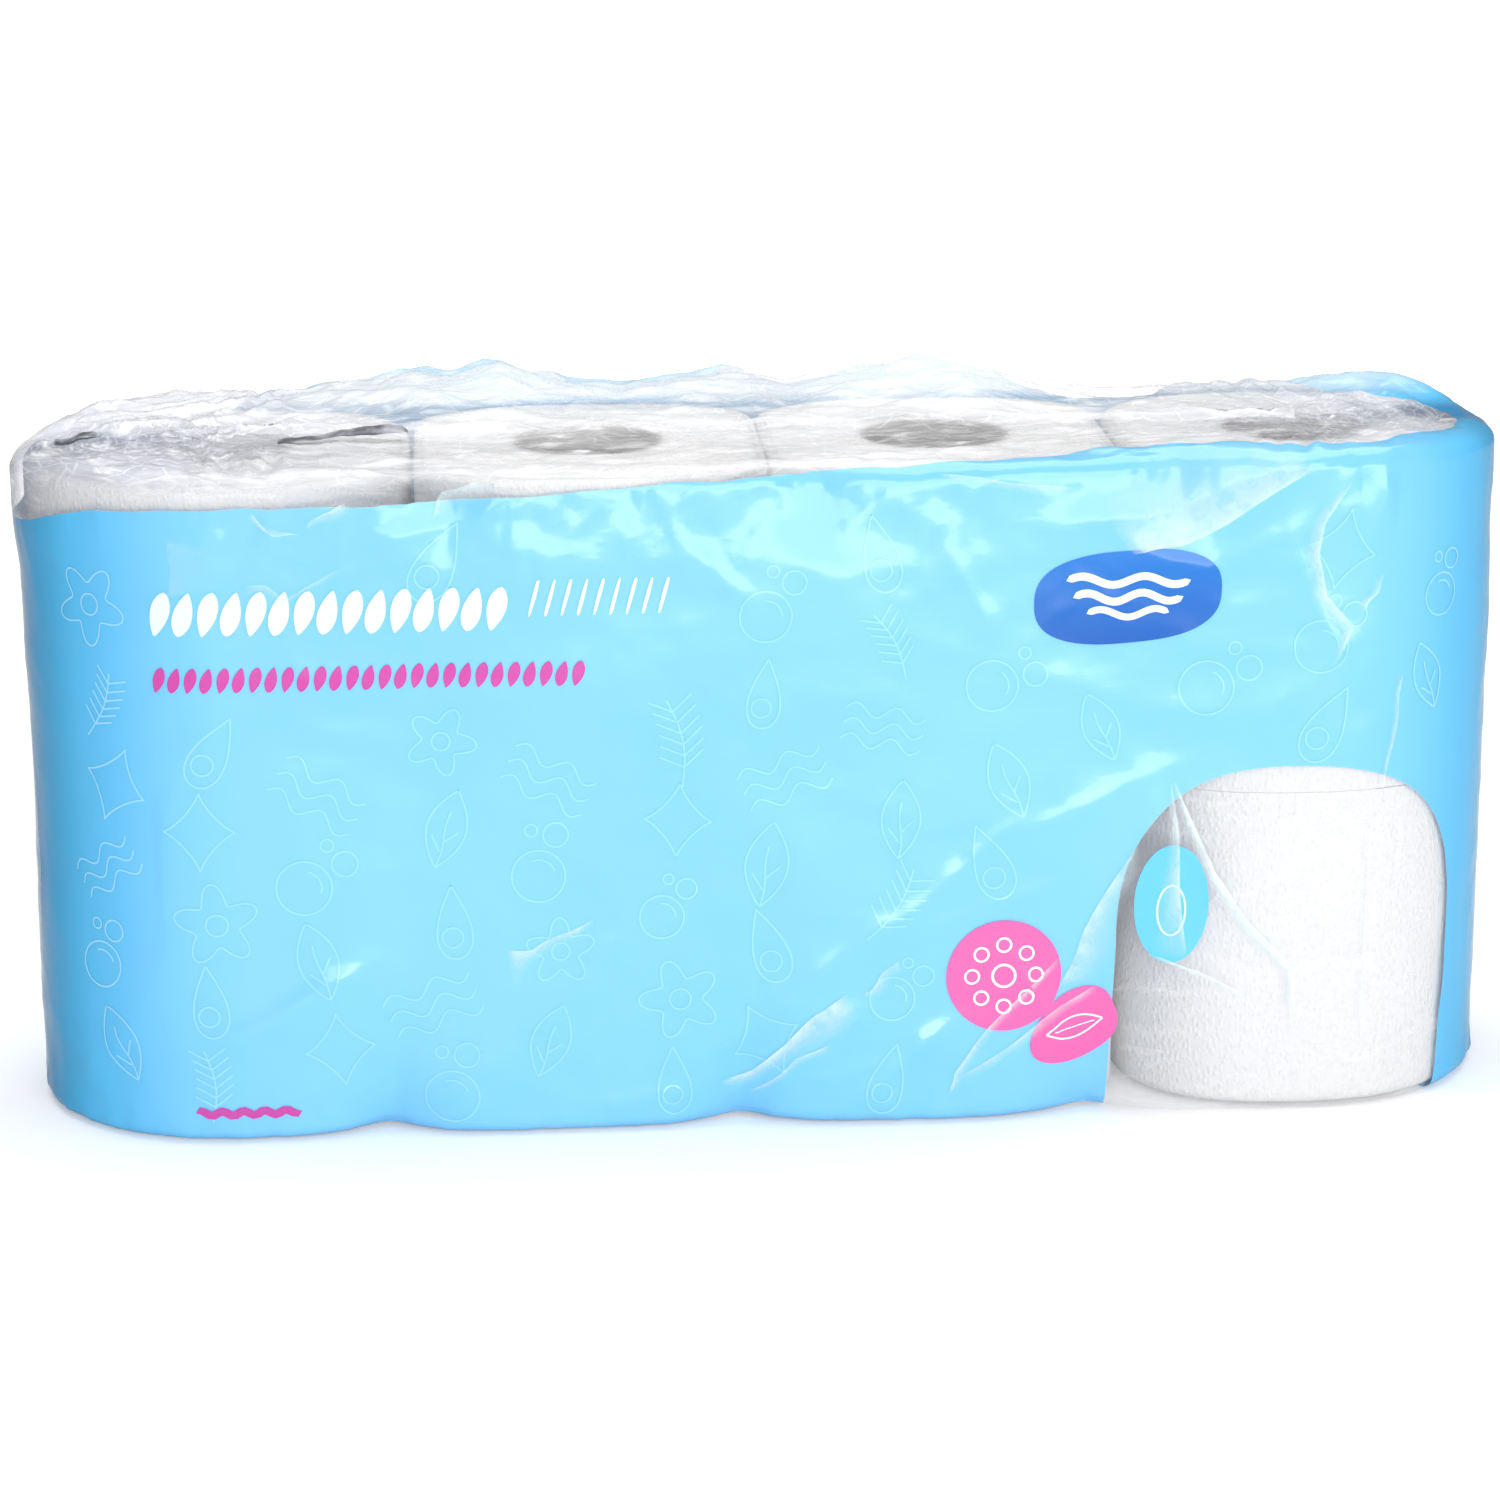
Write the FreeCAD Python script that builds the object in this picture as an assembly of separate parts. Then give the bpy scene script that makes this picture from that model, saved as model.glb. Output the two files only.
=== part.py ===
import FreeCAD, Part
import math
import os

# Pack of eight upright paper rolls, four across and two high, in one sealed plastic film.
# Millimetres. X runs along the pack, -Y is the front, Z is up from the face that it stands on.

# rolls
roll_height = 98.0        # along the core
roll_radius = 58.2        # of a roll that nothing squeezes
roll_pitch = 104.0        # from seam to seam, less than two radii, so the middle rolls are flattened
end_squeeze = 0.6         # how far an end roll is pressed flat against its neighbour
rolls_across = 4
layer_names = ["bottom", "top"]
roll_gap = 0.2            # left between neighbouring rolls
tail_step = 0.5           # thickness of the last sheet where it ends, as a step in the outline
tail_fade = 150.0         # degrees over which that sheet rises to the full radius
tail_ease = 0.4           # share of that rise at the middle of those degrees
tail_angles = [-118, -64, -131, -74]     # degrees from +X, where the rolls' last sheets end

# cardboard cores
core_radius = 21.8
core_wall = 1.1
core_fit = 0.1            # between core and paper
core_flats = 36           # flats round a core and its bore, which stand for a circle

# film
film_wall = 0.3
film_gap = 0.4            # between the film and the rolls at the sides
base_gap = 0.5            # between the film's base and the lowest rolls
top_gap = 0.8             # between the highest rolls and the film where it lies on them
rim_turn = 0.6            # bevel where the film turns over the rolls' rims, half as wide as high
tuck_width = 20.0         # from a seam between two rolls to either side of the film's tuck there
base_tuck = 15.0          # how far the film is drawn in at a seam at the base
base_tuck_rise = 4.5      # how far its lower edge is lifted there
base_tuck_height = 24.0   # height at which that tuck has faded
top_tuck = 4.0
top_tuck_depth = 18.0     # from the top down to where the upper tuck has faded
slack = 0.9               # how far the creases of the side panels stand off
crease_height = 3.0       # of the crumples across the top
seal_half_width = 2.0     # half the width of the heat-sealed lips along the top
seal_rise = 2.5           # height of the lips above the rolls' film
end_flats = 24            # flats round each end
pleat_height = 2.6        # of the gathers that run from each end's rim in to the seal
panel_width = 10.4        # of the facets along the front and the back, as near as fits from seam to seam
top_rings = 7             # rings of facets from the rim to the lips

# loose film that stands up along the back rim: middle and half width in rolls, and height
back_puffs = [(-1.75, 0.35, 4.0), (-0.85, 0.36, 13.0), (-0.1, 0.24, 9.5), (0.57, 0.4, 15.0), (1.95, 0.2, 7.0)]

layers = len(layer_names)
outer_seam = roll_pitch * (rolls_across / 2 - 1)
end_centre = outer_seam + roll_radius - end_squeeze
rolls_top = film_wall + base_gap + layers * roll_height + (layers - 1) * roll_gap
film_radius = roll_radius + film_gap + film_wall
film_top = rolls_top + top_gap + film_wall


def roll_centres():
    """X of each roll, from left to right."""
    inner = [(i - rolls_across / 2 + 0.5) * roll_pitch for i in range(1, rolls_across - 1)]
    return [-end_centre] + inner + [end_centre]


def roll_bottom(layer):
    return film_wall + base_gap + layer * (roll_height + roll_gap)


def at_angle(radius, degrees):
    turn = math.radians(degrees)
    return FreeCAD.Vector(radius * math.cos(turn), radius * math.sin(turn), 0)


def wound_outline(tail_angle):
    """The roll's outline seen from above: a circle, whose last sheet ends in a small step.

    One arc holds the full radius. The other starts on it and comes back tail_step lower.
    """
    start = tail_angle
    rise = tail_angle + 360 - tail_fade
    full = Part.Arc(at_angle(roll_radius, start), at_angle(roll_radius, (start + rise) / 2),
                    at_angle(roll_radius, rise))
    middle = at_angle(roll_radius - tail_step * tail_ease, rise + tail_fade / 2)
    under = at_angle(roll_radius - tail_step, start + 360)
    sinking = Part.Arc(at_angle(roll_radius, rise), middle, under)
    step = Part.LineSegment(under, at_angle(roll_radius, start))
    return Part.Wire([full.toShape(), sinking.toShape(), step.toShape()])


def paper_roll(x, bottom, reach_left, reach_right, tail_angle):
    """One roll: its wound outline, flattened where it meets its neighbours, and bored for its core."""
    wound = Part.Face(wound_outline(tail_angle)).extrude(FreeCAD.Vector(0, 0, roll_height))
    slab = Part.makeBox(reach_left + reach_right, 4 * roll_radius, roll_height,
                        FreeCAD.Vector(-reach_left, -2 * roll_radius, 0))
    bore = core_prism(core_radius + core_fit)
    roll = wound.common(slab).cut(bore)
    roll.translate(FreeCAD.Vector(x, 0, bottom))
    return roll


def core_prism(apothem):
    """An upright column with core_flats flats, each that far from the axis."""
    radius = apothem / math.cos(math.pi / core_flats)
    corners = [at_angle(radius, 360 * i / core_flats) for i in range(core_flats + 1)]
    return Part.Face(Part.makePolygon(corners)).extrude(FreeCAD.Vector(0, 0, roll_height))


def core_tube(x, bottom):
    tube = core_prism(core_radius).cut(core_prism(core_radius - core_wall))
    tube.translate(FreeCAD.Vector(x, 0, bottom))
    return tube


def eased(value, low, high):
    """0 below low and 1 above high, with a smooth rise between."""
    share = min(max((value - low) / (high - low), 0), 1)
    return share * share * (3 - 2 * share)


def film_profile(wall):
    """The film's rings from the base up and in to the lips: (inset, height, tuck, its lift, loose).

    Loose is 0 on the sides, 1 on the top, where the film crumples. The inner face is moved in by wall.
    """
    lips = film_radius - seal_half_width
    sides = [
        (rim_turn, 0, base_tuck + base_tuck_rise, 0, 0),
        (0, rim_turn * 2, base_tuck, base_tuck_rise, 0),
        (0, base_tuck_height * 0.45, base_tuck * 0.35, base_tuck_rise, 0),
        (0, base_tuck_height, 0, 0, 0),
        (0, film_top / 2, 0, 0, 0),
        (0, film_top - top_tuck_depth, 0, 0, 0),
        (0, film_top - rim_turn * 2, top_tuck, 0, 0),
    ]
    rings = [(inset + wall, max(height, wall), tuck, lift, loose) for inset, height, tuck, lift, loose in sides]
    rings.append((rim_turn + wall / 2, film_top - wall, top_tuck, 0, 0))
    for i in range(1, top_rings + 1):
        way = i / (top_rings + 1)
        rings.append((lips * way, film_top - wall, 0, 0, math.sin(math.pi * min(way + 0.15, 1))))
    rings.append((lips + wall, film_top + seal_rise - wall, 0, 0, 0))
    return rings


def seams():
    """X of each seam between two rolls."""
    return [(i - rolls_across / 2) * roll_pitch for i in range(1, rolls_across)]


def film_stations():
    """Places round the film: (x, facing, turn). Turn is 0 along the front and back, else degrees."""
    stops = [-end_centre] + seams() + [end_centre]
    along = [-end_centre]
    for start, end in zip(stops, stops[1:]):
        panels = max(2, round((end - start) / panel_width))
        along += [start + (end - start) * i / panels for i in range(1, panels + 1)]
    turns = [180 * i / end_flats - 90 for i in range(1, end_flats)]
    front = [(x, -1, 0) for x in along]
    right = [(end_centre, 0, turn) for turn in turns]
    back = [(x, 1, 0) for x in reversed(along)]
    left = [(-end_centre, 0, 180 + turn) for turn in turns]
    return front + right + back + left


def seam_share(x):
    """1 at a seam between two rolls, falling to 0 on either side over tuck_width."""
    return max(0, 1 - min(abs(x - seam) for seam in seams()) / tuck_width)


def back_rise(x, y):
    """How far the loose film stands up there: puffs along the back rim, falling towards the front."""
    heights = [height * math.cos(math.pi / 2 * abs(x / roll_pitch - middle) / half) ** 2
               for middle, half, height in back_puffs if abs(x / roll_pitch - middle) < half]
    return max(heights, default=0) * eased(y, seal_half_width, roll_radius * 0.8)


def film_point(station, number, place, level):
    """A corner of the film: on its ring, drawn in at seams, and lifted where it is loose or creased."""
    x, facing, turn = station
    inset, height, tuck, lift, loose = place
    radius = film_radius - inset
    crease = math.sin(2.4 * number + 1.9 * level * level) * math.cos(1.3 * number - 2.2 * level)
    if facing:
        seam = seam_share(x)
        stand_off = slack * max(crease, 0) * (1 - seam) if 2 < level < 6 else 0
        point = FreeCAD.Vector(x, facing * (radius - tuck * seam + stand_off), height + lift * seam)
    else:
        point = at_angle(radius, turn) + FreeCAD.Vector(x, 0, height)
        crease = 1 if number % 2 else -pleat_height / crease_height
    if height > film_top / 2 and level > 5:
        point.z += back_rise(point.x, point.y) * (1 - inset / film_radius * 0.3)
    point.z += loose * crease_height * (crease + 1) / 2
    return point


def panel(a, b, c, d):
    """One facet of the film from four corners, or two where they don't lie in one plane."""
    if abs((b - a).cross(c - a).dot(d - a)) < 1e-6:
        return [Part.Face(Part.makePolygon([a, b, c, d, a]))]
    return [Part.Face(Part.makePolygon([a, b, c, a])), Part.Face(Part.makePolygon([a, c, d, a]))]


def skin(wall):
    """A closed shell of flat facets from ring to ring, with a flat base and flat lips."""
    stations = film_stations()
    rings = [[film_point(station, number, place, level) for number, station in enumerate(stations)]
             for level, place in enumerate(film_profile(wall))]
    faces = []
    for lower, upper in zip(rings, rings[1:]):
        for i in range(len(stations)):
            faces += panel(lower[i - 1], lower[i], upper[i], upper[i - 1])
    faces += [Part.Face(Part.makePolygon(end + end[:1])) for end in (rings[0], rings[-1])]
    shell = Part.makeShell(faces)
    shell.sewShape()
    return shell


def film_wrap():
    """The film as one thin closed skin: an outer shell round an inner one."""
    outer = Part.makeSolid(skin(0))
    inner = Part.makeSolid(skin(film_wall))
    return outer.cut(inner)


def save(node, shape):
    shape.exportStep("parts/" + node + ".step")
    print(node, "valid", shape.isValid(), "solids", len(shape.Solids), "volume", round(shape.Volume))


os.makedirs("parts", exist_ok=True)
for layer in range(layers):
    bottom = roll_bottom(layer)
    for i, x in enumerate(roll_centres()):
        inner_reach = roll_pitch / 2 if 0 < i < rolls_across - 1 else roll_radius - end_squeeze
        left = 2 * roll_radius if i == 0 else inner_reach - roll_gap / 2
        right = 2 * roll_radius if i == rolls_across - 1 else inner_reach - roll_gap / 2
        tail_angle = tail_angles[(i + 3 * layer) % len(tail_angles)]
        label = layer_names[layer] + "_" + str(i + 1)
        save("paper_roll_" + label, paper_roll(x, bottom, left, right, tail_angle))
        save("core_" + label, core_tube(x, bottom))
save("film_wrap", film_wrap())
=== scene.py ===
import math

import bpy
import numpy as np
from mathutils import Matrix, Vector


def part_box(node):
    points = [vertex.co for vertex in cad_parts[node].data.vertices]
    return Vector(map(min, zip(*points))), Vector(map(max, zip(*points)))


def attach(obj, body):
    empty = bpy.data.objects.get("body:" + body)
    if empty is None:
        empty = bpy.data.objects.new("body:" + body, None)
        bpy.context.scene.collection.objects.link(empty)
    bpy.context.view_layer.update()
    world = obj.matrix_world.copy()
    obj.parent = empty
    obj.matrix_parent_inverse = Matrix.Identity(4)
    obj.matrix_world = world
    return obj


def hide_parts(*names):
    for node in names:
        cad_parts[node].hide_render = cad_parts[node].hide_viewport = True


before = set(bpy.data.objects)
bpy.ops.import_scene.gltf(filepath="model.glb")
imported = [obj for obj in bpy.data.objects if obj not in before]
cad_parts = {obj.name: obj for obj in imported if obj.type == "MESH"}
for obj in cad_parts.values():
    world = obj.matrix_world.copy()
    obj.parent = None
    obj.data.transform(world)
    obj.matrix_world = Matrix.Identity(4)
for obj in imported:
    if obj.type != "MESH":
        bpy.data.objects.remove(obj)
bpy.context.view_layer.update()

filmLow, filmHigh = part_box("film_wrap")
rollLow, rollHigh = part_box("paper_roll_top_1")
layerNames = ["bottom", "top"]
rollsAcross = 4
mm = 0.001      # a millimetre in metres


def rollLabel(layer, i):
    return layerNames[layer] + "_" + str(i + 1)


def rollBox(layer, i):
    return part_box("paper_roll_" + rollLabel(layer, i))


# sizes that everything else is worked out from, in metres
pack = {
    "halfLength": filmHigh.x,
    "halfDepth": filmHigh.y,
    "rollsTop": rollHigh.z,
    "seams": [(rollBox(0, i)[1].x + rollBox(0, i + 1)[0].x) / 2 for i in range(rollsAcross - 1)],
    "topGap": 0.0009,          # from the highest rolls up to the film
}
pack["endCentre"] = pack["halfLength"] - pack["halfDepth"]
pack["filmTop"] = pack["rollsTop"] + pack["topGap"]
pack["girth"] = 4 * pack["endCentre"] + 2 * math.pi * pack["halfDepth"]     # once round the film
print("stage: frame loaded, pack", round(pack["halfLength"] * 2, 4), "m long")


# Quads of a grid whose points lie row after row; closed joins the last column to the first.
def gridFaces(rows, columns, closed):
    across = columns if closed else columns - 1
    r, c = np.meshgrid(np.arange(rows - 1), np.arange(across), indexing="ij")
    nextC = (c + 1) % columns
    quads = np.stack([r * columns + c, r * columns + nextC,
                      (r + 1) * columns + nextC, (r + 1) * columns + c], -1)
    return quads.reshape(-1, 4)


# A mesh of quads or triangles from whole arrays of points and corner numbers.
def meshObject(name, points, faces, smooth=True):
    mesh = bpy.data.meshes.new(name)
    faces = np.asarray(faces, np.int32)
    corners = faces.shape[1]
    mesh.vertices.add(len(points))
    mesh.vertices.foreach_set("co", np.asarray(points, np.float32).ravel())
    mesh.loops.add(faces.size)
    mesh.loops.foreach_set("vertex_index", faces.ravel())
    mesh.polygons.add(len(faces))
    mesh.polygons.foreach_set("loop_start", np.arange(0, faces.size, corners, dtype=np.int32))
    mesh.update(calc_edges=True)
    mesh.polygons.foreach_set("use_smooth", np.full(len(faces), smooth))
    mesh.validate()
    piece = bpy.data.objects.new(name, mesh)
    bpy.context.scene.collection.objects.link(piece)
    return piece


# Writes a UV map from one UV per point. A face whose u spans more than widest crosses the seam, so
# those of its corners whose u is under low move on by a whole turn.
def setWrappedUv(piece, uvs, widest, low, turn):
    mesh = piece.data
    corner = np.zeros(len(mesh.loops), np.int32)
    mesh.loops.foreach_get("vertex_index", corner)
    uv = uvs.reshape(-1, 2)[corner].reshape(-1, 4, 2)
    crossing = uv[..., 0].max(1) - uv[..., 0].min(1) > widest
    uv[..., 0] += (crossing[:, None] & (uv[..., 0] < low)) * turn
    mesh.uv_layers.new(name="UVMap").data.foreach_set("uv", uv.astype(np.float32).ravel())


def setAttribute(piece, name, values):
    attribute = piece.data.attributes.new(name, "FLOAT", "POINT")
    attribute.data.foreach_set("value", np.asarray(values, np.float32).ravel())


def smoothStep(low, high, x):
    t = np.clip((x - low) / (high - low), 0, 1)
    return t * t * (3 - 2 * t)


# Smooth noise of about -1 to 1: slopes picked at whole numbers of p and q, blended between them.
def gradientNoise(p, q, seed):
    angles = np.random.default_rng(seed).uniform(0, 2 * math.pi, (97, 89))
    i, j = np.floor(p).astype(int), np.floor(q).astype(int)
    f, g = p - i, q - j
    total = np.zeros_like(p)
    for a in (0, 1):
        for b in (0, 1):
            angle = angles[(i + a) % 97, (j + b) % 89]
            slope = np.cos(angle) * (f - a) + np.sin(angle) * (g - b)
            nearP = f if a else 1 - f
            nearQ = g if b else 1 - g
            shareP = nearP ** 3 * (6 * nearP * nearP - 15 * nearP + 10)
            total += slope * shareP * nearQ ** 3 * (6 * nearQ * nearQ - 15 * nearQ + 10)
    return total * 1.5


# Creased film: ridged noise, 1 - |noise|, in ever smaller sizes, each bent by slow noise.
def creased(p, q, seed, size, octaves, roughness=0.55):
    total = np.zeros_like(p)
    strength, weight = 1.0, 0.0
    for octave in range(octaves):
        scale = size * 0.52 ** octave
        bend = 0.55 * gradientNoise(p / scale * 0.6 + 7.3, q / scale * 0.6, seed + 40 + octave)
        twist = 0.55 * octave
        along = p * math.cos(twist) + q * math.sin(twist)
        across = -p * math.sin(twist) + q * math.cos(twist)
        ridge = 1 - 2.2 * np.abs(gradientNoise(along / scale + bend, across / scale - bend, seed + octave))
        total += strength * ridge
        weight += strength
        strength *= roughness
    return total / weight


# the film's surface is a ring outline that follows the rolls, carried along a section
film = {
    "around": 680,            # points round the sleeve
    "aroundTop": 1180,        # points round the top
    "sleeveReach": 0.012,     # how far the sleeve goes in over the rolls
    "baseRim": 0.0045,        # radius where the film turns under the rolls
    "topRim": 0.0042,         # radius where it turns over them
    "seamPullBase": 0.0095,   # how far it is drawn in between two rolls at the base
    "seamPullTop": 0.0035,
    "seamPullMiddle": 0.0007,
    "seamWidth": 0.013,
    "seamLean": 0.12,         # slant of that pull, per metre of height
    "baseNotch": 0.0012,      # how far the base is lifted where it is drawn in
    "baseRoom": 0.0010,       # room round the lowest rolls' feet
    "swell": 0.0014,          # slow swells of the sides
    "sideFold": 0.0007,       # height of the wrinkles on the sides
    "rimFold": 0.0010,        # of the small folds near the base and the rim
    "rimWave": 0.0009,        # of the rim's waves, up and down
    "topFold": 0.0017,        # of the crumples on the top
    "underFold": 0.0008,      # of the folds under the base
    "seal": 0.0022,           # of the sealed lips along the top
    "bulge": 0.0015,          # how far the left end stands out, high up
    "bulgeAt": 0.246,         # how far round to the left that is
    "seed": 11,
}

# straight creases on the front: from x, z to x, z, half width and depth, in millimetres
frontCreases = [
    (-26, 21, 30, 60, 12, 1.5), (30, 60, 70, 92, 10, 1.6), (66, 90, 118, 108, 12, 1.3),
    (-75, 30, -45, 62, 6, 1.1), (-14, 8, 24, 36, 7, 1.5), (20, 6, 52, 32, 6, 1.3), (70, 52, 86, 22, 4, 0.9),
    (96, 40, 112, 96, 8, 1.6), (112, 96, 140, 60, 7, 1.2), (104, 20, 128, 52, 6, 1.1),
    (150, 178, 166, 138, 8, 1.5), (84, 182, 160, 196, 12, 2.2), (100, 178, 128, 166, 9, 1.2),
    (-170, 30, -118, 54, 11, 1.8), (-60, 8, -20, 14, 5, 0.8), (6, 14, 34, 20, 4, 0.8),
    (182, 120, 200, 150, 7, 1.0), (172, 20, 196, 96, 8, 0.8), (-190, 60, -170, 120, 9, 0.7),
    (-120, 182, -76, 190, 6, 1.0), (-30, 184, -8, 160, 6, 0.8), (48, 182, 62, 150, 7, 0.8),
    (176, 190, 198, 176, 5, 1.0), (-100, 10, -80, 26, 6, 0.9), (40, 60, 84, 74, 6, 0.8),
]

# how far the film stands above the rolls along its back rim: x and height, in millimetres
backRise = [(-222, 1), (-200, 3), (-182, 4), (-150, 2.5), (-118, 7), (-100, 12), (-77, 13), (-58, 7),
            (-40, 5), (-22, 8), (-9, 9.5), (11, 5), (26, 10), (52, 15), (66, 14.5), (90, 4), (106, 0.5),
            (146, 1.5), (170, 1), (196, 6), (208, 7), (216, 3), (222, 1)]

# and along its front rim, where it is pulled up at the right
frontRise = [(-222, 0), (40, 0), (90, 1.5), (130, 3), (190, 3.2), (214, 2), (222, 1)]


# Places on a stadium of that end radius, from their unrolled distance from the front's middle.
# The distance runs along the film's own outline, so rings of any radius line up.
def outlineAt(radius, s):
    half = pack["endCentre"]
    full = pack["halfDepth"]
    quarter = math.pi * full / 2
    a = np.abs(s)
    side = np.sign(s) + (s == 0)
    onFront = a <= half
    onEnd = (a > half) & (a <= half + 2 * quarter)
    turn = (a - half) / full
    x = np.where(onFront, a, np.where(onEnd, half + radius * np.sin(turn), 2 * half + 2 * quarter - a))
    y = np.where(onFront, -radius, np.where(onEnd, -radius * np.cos(turn), radius))
    return side * x, y


def outline(radius, around):
    s = np.arange(around) / around * pack["girth"]
    s = np.where(s > pack["girth"] / 2, s - pack["girth"], s)
    return *outlineAt(radius, s), s


# How far forward the rolls stand at x: rounded squares in a row, flat against each other.
def rollReach(x):
    radius = (rollHigh.y - rollLow.y) / 2
    middles = [(rollBox(0, i)[0].x + rollBox(0, i)[1].x) / 2 for i in range(rollsAcross)]
    middles[0] += 0.0001
    nearest = np.min([np.abs(x - middle) for middle in middles], axis=0)
    return radius * (1 - np.minimum(nearest / radius, 0.99) ** roll["fullness"]) ** (1 / roll["fullness"])


# The larger of two, rounded off where they cross.
def softMax(a, b, soft):
    gap = a - b
    return 0.5 * (a + b + np.sqrt(gap * gap + soft * soft))


# Inward pull towards each seam between rolls: deep at the base, slight at the top, none between.
def seamPull(x, z):
    pull = np.zeros_like(x)
    for seam in pack["seams"]:
        lean = film["seamLean"] * (pack["filmTop"] * 0.5 - z)
        near = np.exp(-(np.abs(x - seam + lean) / film["seamWidth"]) ** 1.5)
        low = film["seamPullBase"] * np.exp(-(np.maximum(z, 0) / 0.019) ** 1.2)
        high = film["seamPullTop"] * smoothStep(pack["filmTop"] - 0.03, pack["filmTop"], z)
        pull = pull + near * (low + high + film["seamPullMiddle"])
    return pull


# Sum of straight creases: each is a ridge, sharp on top, that fades at both ends.
def creaseField(x, z, creases):
    total = np.zeros_like(x)
    for x0, z0, x1, z1, half, depth in creases:
        x0, z0, x1, z1, half, depth = (value * mm for value in (x0, z0, x1, z1, half, depth))
        length = math.hypot(x1 - x0, z1 - z0)
        dx, dz = (x1 - x0) / length, (z1 - z0) / length
        along = (x - x0) * dx + (z - z0) * dz
        bow = 0.12 * half * np.sin(along / length * 5)
        across = (-(x - x0) * dz + (z - z0) * dx + bow) / half
        fade = smoothStep(-0.25 * length, 0.3 * length, along)
        fade = fade * smoothStep(1.25 * length, 0.7 * length, along)
        total += depth * fade * np.exp(-np.abs(across) * np.where(across > 0, 2.2, 0.9))
    return total


# How far the film's sides stand out: slow swells, wrinkles, small folds near both rims and straight
# creases, less the pull at the seams. The rolls under it hold it out where that would go too deep.
def sideShift(inset, z, x, y, s):
    high, half, full, seed = pack["filmTop"], pack["endCentre"], pack["halfDepth"], film["seed"]
    front = (y < 0) * (np.abs(s) < half + 0.02)
    slow = film["swell"] * gradientNoise(s / 0.085, z / 0.07, seed + 1)
    wrinkles = film["sideFold"] * creased(s * 0.7, z, seed, 0.045, 3)
    nearRim = np.exp(-np.maximum(high - z, 0) / 0.016) + 0.9 * np.exp(-np.maximum(z, 0) / 0.015)
    small = film["rimFold"] * nearRim * creased(s, z * 0.6, seed + 2, 0.016, 3)
    lines = creaseField(s, z, frontCreases) * front
    bulge = film["bulge"] * np.exp(-((s + film["bulgeAt"]) / 0.045) ** 2) * smoothStep(0.162, 0.184, z)
    out = slow + wrinkles + small + lines + bulge
    pull = seamPull(x, z) * smoothStep(full * 0.96, 0.0, inset)
    reach = np.where(np.abs(x) < half, rollReach(x), full - 0.0007) - full + 0.0004
    reach = reach + film["baseRoom"] * np.exp(-np.maximum(z, 0) / 0.008)
    onLong = np.abs(x) < half + 0.001
    return softMax(out - pull * onLong, np.where(onLong, reach, -0.0003), 0.0006)


# How far the loose film stands up there: rises along the back and the front, each from its table.
def looseRise(x, y):
    table = np.array(backRise) * mm
    rise = np.interp(x, table[:, 0], table[:, 1]) * smoothStep(-0.012, 0.05, y) ** 1.3
    rise = rise * (0.85 + 0.25 * gradientNoise(x / 0.016, y / 0.03, film["seed"] + 20))
    table = np.array(frontRise) * mm
    return rise + np.interp(x, table[:, 0], table[:, 1]) * smoothStep(0.0, -0.05, y)


# Height of the top's crumples. They run lengthwise, and beyond the end rolls' middles they turn into
# gathers that run from the rim in. The left end and the back are crumpled more.
def topCrumples(inset, x, y):
    half = pack["endCentre"]
    beyond = smoothStep(half - 0.03, half + 0.012, np.abs(x))
    turn = np.arctan2(y, np.abs(x) - half + 0.006)
    alongX = x * (1 - beyond) * 0.42 + beyond * inset * 0.8 * np.sign(x)
    acrossY = y * (1 - beyond) + beyond * turn * 0.022
    folds = film["topFold"] * (creased(alongX, acrossY, film["seed"] + 5, 0.018, 4, 0.5) + 0.3)
    folds = folds * (1 + 0.7 * smoothStep(-0.09, -0.15, x) + 0.4 * smoothStep(-0.012, 0.05, y))
    return softMax(folds, 0 * x - 0.0002, 0.0005)


# Points of the film from their inset from the sides, their height, their place on the plain outline
# and their unrolled distance s. The sides move out and in, and the top and the base move up.
def filmSurface(inset, z, x, y, s):
    high, seed = pack["filmTop"], film["seed"]
    outX = x - np.clip(x, -pack["endCentre"], pack["endCentre"])
    length = np.hypot(outX, y) + 1e-9
    side = 1 - smoothStep(0, 0.012, inset)
    moved = sideShift(inset, z, x, y, s)
    px = x + outX / length * moved * side
    py = y + y / length * moved * side
    upper = smoothStep(high - 0.022, high, z)
    onTop = smoothStep(0.0006, 0.009, inset) * smoothStep(high - 0.004, high, z)
    seal = film["seal"] * np.exp(-((pack["halfDepth"] - inset) / 0.0016) ** 2)
    rimWave = film["rimWave"] * gradientNoise(s / 0.021, z * 0, seed + 8)
    pz = z + upper * (looseRise(x, y) + rimWave * side) + onTop * (topCrumples(inset, x, y) + 0.0008 + seal)
    under = (z < film["baseRim"]) * smoothStep(0.001, 0.012, inset)
    underFolds = film["underFold"] * (creased(x * 0.5, y, seed + 9, 0.03, 3) + 0.4)
    pz = pz + under * np.clip(underFolds, 0, 0.0014)
    drawnIn = np.clip(seamPull(x, z) / film["seamPullBase"], 0, 1)
    notch = film["baseNotch"] * drawnIn * smoothStep(0.02, 0.0, z)
    return np.stack([px, py, pz + notch * (z < 0.03) * smoothStep(0.05, 0.0, inset)], -1)


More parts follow.
